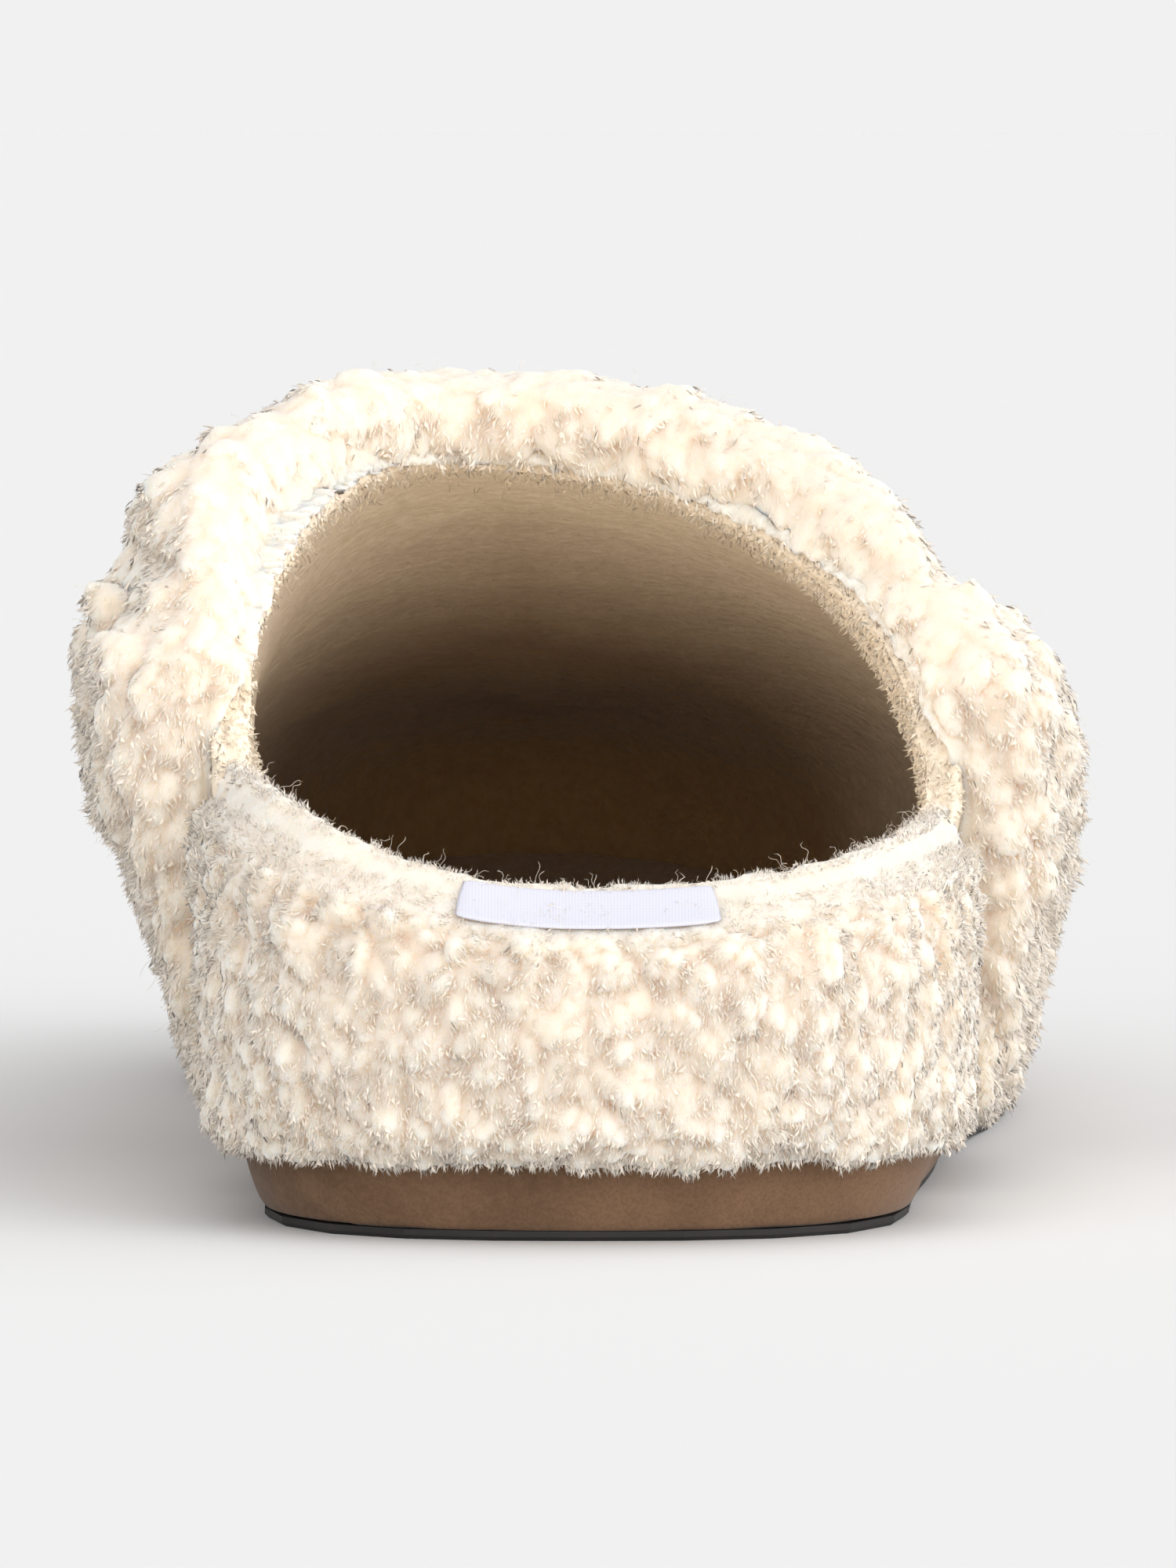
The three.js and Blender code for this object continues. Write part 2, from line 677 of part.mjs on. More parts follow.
// Section of the cuff across its width at one rise: pairs of share of the way round and height
// over the form. Above the heel wool it turns in behind the edge of the upper.
function cuffSection(up, side) {
  const total = outlines[side].total;
  const inside = Math.max(up, 0);
  const over = ease((inside - seamRise[side] - 0.03) / 0.16);
  const edge = collarShare(inside, side);
  const rear = edge + mix(gap, -collarHook, over) / total;
  const notch = mix(rear, edge - hookClearance / total, clamp01(over * 3));
  const front = mix(frontShareLow, frontShareTop, ease(inside));
  const pile = cuffPile(up, side);
  const low = up < 0.02 ? featherSetIn + woolGap : cuffGap;
  const turned = mix(low + cuffGap, -wall, clamp01((over - 0.25) / 0.35));
  const at = (t) => mix(rear, front, t);
  return [
    [notch, low],
    [notch, turned],
    [mix(notch, rear, 0.75), mix(turned, pile, 0.06)],
    [rear, mix(turned, pile, 0.3)],
    [rear - collarRound * 0.3 / total, mix(turned, pile, 0.62)],
    [rear + collarRound / total, mix(turned, pile, 0.86)],
    [at(0.14), mix(turned, pile, 0.97)],
    [at(0.34), pile],
    [at(0.58), pile * 0.99],
    [at(0.8), pile * 0.93],
    [at(0.93), pile * 0.74],
    [at(1), pile * 0.4],
    [at(0.985), low],
    [at(0.75), low],
    [at(0.5), low],
    [at(0.28), low],
  ];
}

// First place of that section that locks stand on
const CUFF_BACK = 6;

function makeCuff() {
  const body = new Body();
  const rows = [];
  const addRow = (side, up) => {
    const rise = side === MEDIAL ? up : 2 - up;
    const section = cuffSection(up, side);
    rows.push(body.row(section.map(([share, height]) => {
      const normal = formNormal(share, rise);
      return formPoint(share, rise).addScaledVector(normal, height);
    })));
  };
  for (const up of CUFF_RISES) addRow(MEDIAL, up);
  for (const up of CUFF_RISES.slice(0, -1).reverse()) addRow(LATERAL, up);
  for (let i = 1; i < rows.length; i += 1) body.strip(rows[i], rows[i - 1], true);
  const down = AXIS_Z.clone().negate();
  for (const row of [rows[0], rows[rows.length - 1]]) fillEnd(body, row, AXIS_X, AXIS_Y, down);
  let solid = toSolid(body.geometry());
  for (let row = 0; row < CUFF_LOCK_ROWS; row += 1) {
    for (let i = 0; i < CUFF_LOCKS; i += 1) {
      const rise = mix(0.12, 1.88, (i + (row % 2) * 0.5 + 0.3 * hash(row * 17 + i)) / CUFF_LOCKS);
      const side = rise <= 1 ? MEDIAL : LATERAL;
      const section = cuffSection(rise <= 1 ? rise : 2 - rise, side);
      const [share, height] = section[CUFF_BACK + row];
      const normal = formNormal(share, rise);
      const root = formPoint(share, rise).addScaledVector(normal, height);
      const lower = formPoint(share, rise + (rise <= 1 ? -0.03 : 0.03));
      const fall = lower.sub(formPoint(share, rise)).normalize();
      const size = (height / pileSide) * mix(0.7, 1, hash(i + row * 71));
      solid = solid.add(makeLock(root, normal, fall, size));
    }
  }
  return fromSolid(solid);
}

const MODEL = [
  ['outsole', makeOutsole, 0x1f1c1a, 0.85],
  ['midsole', makeMidsole, 0x6a4c39, 0.95],
  ['insole', makeInsole, 0xc9b08e, 1],
  ['upper', makeUpper, 0x8a6246, 0.95],
  ['heel_panel', makeHeelPanel, 0xece0d0, 1],
  ['cuff', makeCuff, 0xefe4d5, 1],
  ['label', makeLabel, 0xe9e9f4, 0.7],
];

const slipper = new THREE.Group();
for (const [name, make, color, roughness] of MODEL) {
  const material = new THREE.MeshStandardMaterial({ color, roughness, metalness: 0 });
  const mesh = new THREE.Mesh(make(), material);
  mesh.name = name;
  slipper.add(mesh);
}

export default slipper;
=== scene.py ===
"""Finish of a sheepskin clog slipper for the right foot: suede, wool, footbed, label and studio."""

import math

import bmesh
import bpy
import numpy as np
from bpy.props import FloatProperty, FloatVectorProperty, IntProperty, PointerProperty
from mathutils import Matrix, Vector, kdtree, noise
from mathutils.bvhtree import BVHTree


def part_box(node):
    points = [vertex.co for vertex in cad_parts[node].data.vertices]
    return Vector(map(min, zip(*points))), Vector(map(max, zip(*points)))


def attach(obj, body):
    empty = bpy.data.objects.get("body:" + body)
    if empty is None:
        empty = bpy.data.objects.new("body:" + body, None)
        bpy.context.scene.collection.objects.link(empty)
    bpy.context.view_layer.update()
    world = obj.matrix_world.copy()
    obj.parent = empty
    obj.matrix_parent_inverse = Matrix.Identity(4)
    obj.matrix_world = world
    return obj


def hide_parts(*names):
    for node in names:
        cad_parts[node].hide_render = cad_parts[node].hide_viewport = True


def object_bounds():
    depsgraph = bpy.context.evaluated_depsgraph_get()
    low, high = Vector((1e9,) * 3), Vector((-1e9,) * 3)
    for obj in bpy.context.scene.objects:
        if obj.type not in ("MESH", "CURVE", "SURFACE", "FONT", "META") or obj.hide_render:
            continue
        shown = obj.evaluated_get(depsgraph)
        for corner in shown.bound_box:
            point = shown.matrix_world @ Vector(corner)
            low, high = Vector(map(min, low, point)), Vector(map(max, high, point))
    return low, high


bl_info = {
    "name": "Sheepskin Slipper",
    "version": (1, 0, 0),
    "blender": (4, 5, 0),
    "location": "View3D > Sidebar > Slipper",
    "description": "Dresses the slipper's solids with suede, wool, a footbed and a label",
    "category": "Object",
}

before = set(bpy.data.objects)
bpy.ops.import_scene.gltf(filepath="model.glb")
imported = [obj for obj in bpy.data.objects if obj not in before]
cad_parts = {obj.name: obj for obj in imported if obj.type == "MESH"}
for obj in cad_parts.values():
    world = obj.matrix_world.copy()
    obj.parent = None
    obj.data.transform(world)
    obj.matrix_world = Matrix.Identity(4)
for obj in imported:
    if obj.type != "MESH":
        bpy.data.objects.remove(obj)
CAD_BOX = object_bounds()
MM = 0.001

# Wool clumps, large and small: pitch, stretch along the pile and height
HEEL_CLUMPS = ((3.8 * MM, 1.5, 1.0 * MM), (2.0 * MM, 1.8, 0.7 * MM))
CUFF_CLUMPS = ((4.6 * MM, 1.6, 1.4 * MM), (2.3 * MM, 1.8, 0.7 * MM))
# Length of the fine hairs and of the loose curly ones
HEEL_HAIR = 1.2 * MM
CUFF_HAIR = 1.4 * MM
LINING_HAIR = 1.2 * MM
STRAY_HAIR = 2.8 * MM
# Wool nearer to the upper's wall than this has no hairs
BARE = 1.6 * MM
# Lowest that the wool may reach
WOOL_FLOOR = 5 * MM
# Fullest place of the cuff's inner shoulder
SHOULDER = (-46 * MM, 38 * MM, 75 * MM)
# Flex troughs over the ball: place in metres, slant, and depth and width in mm
TROUGHS = ((0.118, 0.12, 2.0, 4.6), (0.135, -0.16, 1.7, 4.2), (0.153, 0.08, 1.1, 5.0))
# Deepest that a trough may go into the wall, in mm
TROUGH_LIMIT = 2.1
# The slipper's middle line lies this far to the inner side at the ball
MIDDLE = 8 * MM
# Way from which the soft key comes, and place of the small light in the opening
KEY_WAY = (0.7, -0.55, 0.4)
FILL_PLACE = (-5 * MM, 5 * MM, 55 * MM)


# Properties


def length(name, text, default):
    return FloatProperty(name=name, description=text, default=default, unit="LENGTH", precision=5)


def number(name, text, default):
    return IntProperty(name=name, description=text, default=default)


def colour(name, text, default):
    return FloatVectorProperty(
        name=name, description=text, default=default, size=3, min=0.0, max=1.0, subtype="COLOR"
    )


class WoolSettings(bpy.types.PropertyGroup):
    hair_radius: length("Hair radius", "Radius of a fine hair", 0.04 * MM)
    heel_hairs: number("Heel hairs", "Fine hairs on the heel panel", 44000)
    cuff_hairs: number("Cuff hairs", "Fine hairs on each half of the cuff", 36000)
    lining_hairs: number("Lining hairs", "Fine hairs inside the opening", 14000)
    strays: number("Strays", "Loose curly hairs on the cuff and on the heel", 260)
    tip: colour("Tip colour", "Wool at the tips of the clumps", (0.875, 0.80, 0.715))
    # Painted shade: the root colour fills the hollows between clumps and the roots of the hairs.
    root: colour("Root colour", "Wool at the roots of the clumps", (0.82, 0.68, 0.53))
    lining: colour("Lining colour", "Shorn wool just inside the opening", (0.93, 0.83, 0.69))
    # Painted shade: the lining and footbed darken into this colour deep in the toe, where little light
    # reaches.
    lining_painted_shade: colour("Deep lining colour", "Shorn wool deep in the toe", (0.30, 0.18, 0.075))


class SuedeSettings(bpy.types.PropertyGroup):
    upper: colour("Upper colour", "Suede of the toe and instep", (0.20, 0.112, 0.062))
    band: colour("Band colour", "Suede round the midsole", (0.155, 0.087, 0.047))
    rubber: colour("Rubber colour", "Rubber of the outsole", (0.016, 0.014, 0.013))


class LabelSettings(bpy.types.PropertyGroup):
    tape: colour("Tape colour", "Woven tape of the label", (0.66, 0.66, 0.75))


class StageSettings(bpy.types.PropertyGroup):
    distance: length("Camera distance", "From the back of the heel wool to the camera", 1.2)
    height: length("Camera height", "Camera above the floor", 0.125)
    lens: FloatProperty(name="Lens", description="Focal length for a 36 mm high sensor", default=257.0)
    pitch: FloatProperty(
        name="Pitch", description="Camera tilt below level", default=math.radians(3.55), subtype="ANGLE"
    )
    floor: colour("Floor colour", "Pale matte floor", (0.812, 0.812, 0.812))
    sky: FloatProperty(name="Sky", description="Strength of the even light from all round", default=0.88)
    key: FloatProperty(name="Key", description="Strength of the soft key from the right", default=0.8)
    fill: FloatProperty(name="Fill", description="Power of the soft light in the opening", default=0.024)


# Node maths


class Value:
    """A socket of a material, with arithmetic that adds its Math nodes."""

    def __init__(self, paint, socket):
        self.paint = paint
        self.socket = socket

    def maths(self, operation, *values):
        return self.paint.node("ShaderNodeMath", {"operation": operation}, dict(enumerate(values)))

    def __add__(self, other):
        return self.maths("ADD", self, other)

    def __radd__(self, other):
        return self.maths("ADD", other, self)

    def __sub__(self, other):
        return self.maths("SUBTRACT", self, other)

    def __rsub__(self, other):
        return self.maths("SUBTRACT", other, self)

    def __mul__(self, other):
        return self.maths("MULTIPLY", self, other)

    def __rmul__(self, other):
        return self.maths("MULTIPLY", other, self)

    def clamp(self):
        return self.paint.node("ShaderNodeClamp", {}, {"Value": self})


class Paint:
    """Builds one material or world out of nodes."""

    def __init__(self, name, shader="ShaderNodeBsdfPrincipled", end="ShaderNodeOutputMaterial"):
        owners = bpy.data.worlds if end == "ShaderNodeOutputWorld" else bpy.data.materials
        self.owner = owners.new(name)
        self.owner.use_nodes = True
        self.tree = self.owner.node_tree
        self.tree.nodes.clear()
        self.shader = self.tree.nodes.new(shader)
        output = self.tree.nodes.new(end)
        self.tree.links.new(self.shader.outputs[0], output.inputs["Surface"])

    def feed(self, socket, value):
        if isinstance(value, Value):
            self.tree.links.new(value.socket, socket)
        elif isinstance(value, (tuple, list)) and len(value) == 3 and socket.type == "RGBA":
            socket.default_value = (*value, 1.0)
        else:
            socket.default_value = value

    def node(self, kind, settings, sockets, output=0):
        made = self.tree.nodes.new(kind)
        for key, value in settings.items():
            setattr(made, key, value)
        for key, value in sockets.items():
            self.feed(made.inputs[key], value)
        return Value(self, made.outputs[output])

    def place(self):
        return self.node("ShaderNodeTexCoord", {}, {}, "Object")

    def noise(self, scale, detail=2.0, roughness=0.5, stretch=None):
        where = self.place()
        if stretch:
            where = self.node("ShaderNodeMapping", {}, {"Vector": where, "Scale": stretch})
        settings = {"Vector": where, "Scale": scale, "Detail": detail, "Roughness": roughness}
        return self.node("ShaderNodeTexNoise", {}, settings, "Fac")

    def attribute(self, name, channel):
        tint = self.node("ShaderNodeAttribute", {"attribute_name": name}, {}, "Color")
        return self.node("ShaderNodeSeparateColor", {}, {"Color": tint}, channel)

    def mix(self, mask, first, second, blend="MIX"):
        made = self.tree.nodes.new("ShaderNodeMix")
        made.data_type = "RGBA"
        made.blend_type = blend
        self.feed(made.inputs[0], mask)
        self.feed(made.inputs[6], first)
        self.feed(made.inputs[7], second)
        return Value(self, made.outputs[2])

    def ramp(self, value, low, high):
        settings = {"Value": value, "From Min": low, "From Max": high}
        return self.node("ShaderNodeMapRange", {"clamp": True}, settings)

    def bump(self, height, distance, strength=1.0, after=None):
        sockets = {"Height": height, "Distance": distance, "Strength": strength}
        if after is not None:
            sockets["Normal"] = after
        return self.node("ShaderNodeBump", {}, sockets, "Normal")

    def finish(self, **values):
        for key, value in values.items():
            self.feed(self.shader.inputs[key.replace("_", " ")], value)
        return self.owner


def wool_tone(paint, tip, root):
    """Pale at the tips and warmer at the roots, whose colour is painted shade in the hollows between
    clumps; uneven from clump to clump.
    """
    along = paint.attribute("wool", "Red")
    tuft = paint.attribute("wool", "Green")
    # Painted shade: low places of the clumps take the root colour, high places the tip colour.
    body = paint.mix(paint.ramp(along, 0.05, 0.85), root, tip)
    warm = tuple(a * b for a, b in zip(tip, (0.96, 0.91, 0.83)))
    body = paint.mix((tuft * 0.6).clamp(), body, warm)
    patch = paint.ramp(paint.noise(95.0, 3.0), 0.35, 0.75)
    return paint.mix(patch * 0.4, body, warm)


def fleece_material(name, tip, root):
    """Joined clumps: soft light inside the wool and a fibrous surface."""
    paint = Paint(name)
    fibres = paint.noise(1500.0, 4.0, 0.7, (1.0, 1.0, 0.35))
    curls = paint.noise(620.0, 3.0, 0.6)
    normal = paint.bump(curls, 0.5 * MM, 0.6)
    normal = paint.bump(fibres, 0.3 * MM, 0.8, normal)
    return paint.finish(
        Base_Color=wool_tone(paint, tip, root), Roughness=0.95, Sheen_Weight=0.4,
        Sheen_Roughness=0.6, Specular_IOR_Level=0.08, Subsurface_Weight=1.0,
        Subsurface_Scale=3.5 * MM, Subsurface_Radius=(1.0, 0.8, 0.6), Normal=normal,
    )


def hair_material(name, tip, root):
    """Fine single hairs."""
    paint = Paint(name)
    return paint.finish(
        Base_Color=wool_tone(paint, tip, root), Roughness=0.95, Sheen_Weight=0.3,
        Sheen_Roughness=0.5, Specular_IOR_Level=0.05,
    )


def lining_material(name, near, deep):
    """Shorn wool with painted shade: darker and browner toward the toe and the middle, where little light
    reaches.
    """
    paint = Paint(name)
    along = paint.node("ShaderNodeSeparateXYZ", {}, {"Vector": paint.place()}, "Y")
    across = paint.node("ShaderNodeSeparateXYZ", {}, {"Vector": paint.place()}, "X")
    aside = across.maths("ABSOLUTE", across + MIDDLE) - 12 * MM
    drift = (paint.noise(60.0, 3.0) - 0.5) * 0.02
    # Painted shade: the wool turns to the deep colour further into the toe and nearer the middle line.
    depth = paint.ramp(along + drift - aside * 1.1, 0.10, 0.17)
    curls = paint.noise(700.0, 4.0, 0.62)
    lumps = paint.noise(180.0, 2.0)
    body = paint.mix(depth, near, deep)
    shade = tuple(v * 0.82 for v in near)
    body = paint.mix(paint.ramp(curls, 0.62, 0.36) * 0.5, body, shade, "MULTIPLY")
    normal = paint.bump(lumps, 1.2 * MM, 0.6)
    normal = paint.bump(curls, 0.6 * MM, 0.8, normal)
    return paint.finish(
        Base_Color=body, Roughness=0.95, Sheen_Weight=0.2, Sheen_Roughness=0.6,
        Specular_IOR_Level=0.1, Normal=normal,
    )


def suede_material(name, tone):
    """Brushed suede: short nap in drifting patches, with a soft sheen."""
    paint = Paint(name)
    drift = paint.noise(38.0, 4.0, 0.6, (1.0, 0.6, 1.0))
    strokes = paint.noise(150.0, 3.0, 0.55, (1.0, 0.45, 1.0))
    nap = paint.noise(900.0, 3.0, 0.7)
    grain = paint.noise(2600.0, 2.0, 0.6)
    dark = tuple(v * 0.66 for v in tone)
    light = tuple(min(1.0, v * 1.42 + 0.01) for v in tone)
    body = paint.mix(paint.ramp(drift, 0.30, 0.72), dark, light)
    body = paint.mix(paint.ramp(strokes, 0.52, 0.68) * 0.5, body, light)
    body = paint.mix(paint.ramp(nap, 0.35, 0.68) * 0.45, body, light)
    body = paint.mix(paint.ramp(grain, 0.58, 0.38) * 0.35, body, dark)
    normal = paint.bump(nap, 0.18 * MM, 0.55)
    normal = paint.bump(grain, 0.1 * MM, 0.6, normal)
    return paint.finish(
        Base_Color=body, Roughness=paint.ramp(drift, 0.2, 0.8) * 0.1 + 0.85, Sheen_Weight=0.15,
        Sheen_Roughness=0.4, Specular_IOR_Level=0.2, Normal=normal,
    )


def rubber_material(name, tone):
    """Moulded rubber, matte, with fine dust in its grain."""
    paint = Paint(name)
    grain = paint.noise(1500.0, 3.0, 0.6)
    dust = paint.ramp(paint.noise(90.0, 4.0), 0.5, 0.8)
    dusty = tuple(v * 2.6 + 0.01 for v in tone)
    return paint.finish(
        Base_Color=paint.mix(dust * 0.5, tone, dusty), Roughness=dust * 0.15 + 0.62,
        Specular_IOR_Level=0.4, Normal=paint.bump(grain, 0.08 * MM, 0.5),
    )


def tape_material(name, tone):
    """Woven tape: fine crossing threads with a satin gloss."""
    paint = Paint(name)
    where = paint.place()
    weft = {"Vector": where, "Scale": 900.0, "Distortion": 0.4, "Detail": 1.0}
    across = paint.node("ShaderNodeTexWave", {"bands_direction": "X"}, weft, "Fac")
    down = paint.node("ShaderNodeTexWave", {"bands_direction": "Y"}, {**weft, "Scale": 1300.0}, "Fac")
    weave = across * 0.5 + down * 0.5
    shade = tuple(v * 0.86 for v in tone)
    return paint.finish(
        Base_Color=paint.mix(paint.ramp(weave, 0.55, 0.2) * 0.6, tone, shade), Roughness=0.55,
        Sheen_Weight=0.2, Specular_IOR_Level=0.35, Normal=paint.bump(weave, 0.05 * MM, 0.5),
    )


# Mesh tools


def new_object(name, mesh):
    made = bpy.data.objects.new(name, mesh)
    bpy.context.scene.collection.objects.link(made)
    return made


def merged_shape(node):
    """The node's solid as one closed bmesh of quads where its triangles pair up."""
    shape = bmesh.new()
    shape.from_mesh(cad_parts[node].data)
    bmesh.ops.remove_doubles(shape, verts=shape.verts, dist=0.02 * MM)
    flat = math.radians(30)
    bmesh.ops.join_triangles(
        shape, faces=shape.faces, angle_face_threshold=flat, angle_shape_threshold=math.radians(50)
    )
    return shape


def shape_to_object(shape, name):
    mesh = bpy.data.meshes.new(name)
    for face in shape.faces:
        face.smooth = True
    shape.to_mesh(mesh)
    shape.free()
    return new_object(name, mesh)


def baked(piece):
    """Apply the modifiers of a piece to its mesh."""
    bpy.context.view_layer.update()
    graph = bpy.context.evaluated_depsgraph_get()
    mesh = bpy.data.meshes.new_from_object(piece.evaluated_get(graph))
    piece.modifiers.clear()
    piece.data = mesh
    mesh.polygons.foreach_set("use_smooth", [True] * len(mesh.polygons))
    return piece


def creased(shape):
    """Keep the sharp edges of a shape when it is subdivided."""
    layer = shape.edges.layers.float.new("crease_edge")
    for edge in shape.edges:
        if len(edge.link_faces) == 2 and edge.calc_face_angle() > math.radians(45):
            edge[layer] = 0.85
    return shape


def subdivided(piece, levels):
    step = piece.modifiers.new("Subdivision", "SUBSURF")
    step.levels = levels
    step.render_levels = levels
    return baked(piece)


def vertices_of(mesh):
    places = np.empty(len(mesh.vertices) * 3, np.float64)
    mesh.vertices.foreach_get("co", places)
    return places.reshape(-1, 3)


def normals_of(mesh):
    ways = np.empty(len(mesh.vertices) * 3, np.float64)
    mesh.vertices.foreach_get("normal", ways)
    return ways.reshape(-1, 3)


def move_vertices(mesh, places):
    mesh.vertices.foreach_set("co", places.astype(np.float32).ravel())
    mesh.update()


def ride(piece, slot, material, *nodes):
    """Put the material on a piece, join it to the slipper and hide the solids it stands for."""
    if material is not None:
        piece.data.materials.clear()
        piece.data.materials.append(material)
    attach(piece, "root")
    if nodes:
        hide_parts(*nodes)
    return piece


def lumpy(places, size, seed):
    """Soft noise from -1 to 1 at each place."""
    offset = Vector((seed * 7.3, seed * 3.1, seed * 5.7))
    return np.array([noise.noise(Vector(p) / size + offset) for p in places])


def tree_of(node):
    shape = merged_shape(node)
    tree = BVHTree.FromBMesh(shape)
    shape.free()
    return tree


# Wool


def unit(ways):
    return ways / np.maximum(np.linalg.norm(ways, axis=1), 1e-9)[:, None]


def rise(value, low, high):
    """0 below low, 1 above high, straight between."""
    return np.clip((value - low) / (high - low), 0, 1)


def distances(tree, places):
    return np.array([tree.find_nearest(p)[3] for p in places])


def tube_mesh(name, spine, girths, sides, tones):
    """Joined tapered tubes, closed at the root and the tip.

    spine: places of the tubes at each step. girths: radius of the tubes at each step but the
    last, which is a point. tones: tone at each step.
    """
    count = len(spine[0])
    steps = len(girths)
    first = unit(spine[1] - spine[0])
    other = np.where(np.abs(first[:, 2:]) > 0.8, (1.0, 0.0, 0.0), (0.0, 0.0, 1.0))
    across = unit(np.cross(first, other))
    corners = []
    shades = []
    for step in range(steps):
        along = unit(spine[min(step + 1, steps)] - spine[max(step - 1, 0)])
        side = unit(across - along * (across * along).sum(axis=1)[:, None])
        up = np.cross(along, side)
        for k in range(sides):
            turn = 2 * math.pi * k / sides
            ring = side * math.cos(turn) + up * math.sin(turn)
            corners.append(spine[step] + ring * girths[step][:, None])
            shades.append(tones[step])
    corners.append(spine[steps])
    shades.append(tones[steps])
    faces = []
    for step in range(steps - 1):
        for k in range(sides):
            here, there = step * sides + k, step * sides + (k + 1) % sides
            faces += [(here, there, there + sides), (here, there + sides, here + sides)]
    last = (steps - 1) * sides
    faces += [(last + k, last + (k + 1) % sides, steps * sides) for k in range(sides)]
    faces += [(0, k + 1, k) for k in range(1, sides - 1)]
    places = np.stack(corners, axis=1).reshape(-1, 3)
    shades = np.stack(shades, axis=1).reshape(-1, 3)
    stride = steps * sides + 1
    index = (np.array(faces)[None] + (np.arange(count) * stride)[:, None, None]).reshape(-1, 3)
    return joined_mesh(name, places, index, shades)


def joined_mesh(name, places, index, tones):
    """A mesh from arrays of places, triangles and a tone at each place."""
    mesh = bpy.data.meshes.new(name)
    mesh.vertices.add(len(places))
    mesh.vertices.foreach_set("co", places.astype(np.float32).ravel())
    mesh.loops.add(index.size)
    mesh.loops.foreach_set("vertex_index", index.astype(np.int32).ravel())
    mesh.polygons.add(len(index))
    mesh.polygons.foreach_set("loop_start", np.arange(0, index.size, 3, dtype=np.int32))
    mesh.polygons.foreach_set("use_smooth", np.ones(len(index), bool))
    mesh.update(calc_edges=True)
    paint_vertices(mesh, tones)
    return new_object(name, mesh)


def paint_vertices(mesh, tones):
    layer = mesh.color_attributes.new("wool", "FLOAT_COLOR", "POINT")
    full = np.concatenate([tones, np.ones((len(tones), 1))], axis=1)
    layer.data.foreach_set("color", full.astype(np.float32).ravel())


def remeshed(piece, voxel):
    """One even skin over a solid, with its facets smoothed away."""
    step = piece.modifiers.new("Remesh", "REMESH")
    step.mode = "VOXEL"
    step.voxel_size = voxel
    smooth = piece.modifiers.new("Smooth", "SMOOTH")
    smooth.factor = 0.5
    smooth.iterations = 8
    return baked(piece)


class Fleece:
    """A surface that clumps and hairs grow from."""

    def __init__(self, mesh, random):
        self.random = random
        mesh.calc_loop_triangles()
        corners = np.empty(len(mesh.loop_triangles) * 3, np.int32)
        mesh.loop_triangles.foreach_get("vertices", corners)
        self.corners = corners.reshape(-1, 3)
        self.places = vertices_of(mesh)
        self.normals = normals_of(mesh)
        a, b, c = (self.places[self.corners[:, k]] for k in range(3))
        self.areas = np.linalg.norm(np.cross(b - a, c - a), axis=1) / 2
        self.area = self.areas.sum()

    def sample(self, count, weight):
        """Places and normals spread over the surface in proportion to a weight at each vertex."""
        mass = self.areas * weight[self.corners].mean(axis=1)
        pick = self.random.choice(len(mass), size=count, p=mass / mass.sum())
        u, v = self.random.random((2, count))
        over = u + v > 1
        u[over], v[over] = 1 - u[over], 1 - v[over]
        mix = np.stack([1 - u - v, u, v], axis=1)[:, :, None]
        picked = self.corners[pick]
        places = (self.places[picked] * mix).sum(axis=1)
        normals = (self.normals[picked] * mix).sum(axis=1)
        return places, unit(normals)

    def spread(self, tries, weight, pitch):
        """Samples that keep at least a pitch between them."""
        places, normals = self.sample(tries, weight)
        finder = finder_of(places)
        kept = np.ones(tries, bool)
        for i, place in enumerate(places):
            if kept[i]:
                for _, j, _ in finder.find_range(place, pitch):
                    if j > i:
                        kept[j] = False
        return places[kept], normals[kept]


def finder_of(places):
    finder = kdtree.KDTree(len(places))
    for i, place in enumerate(places):
        finder.insert(place, i)
    finder.balance()
    return finder


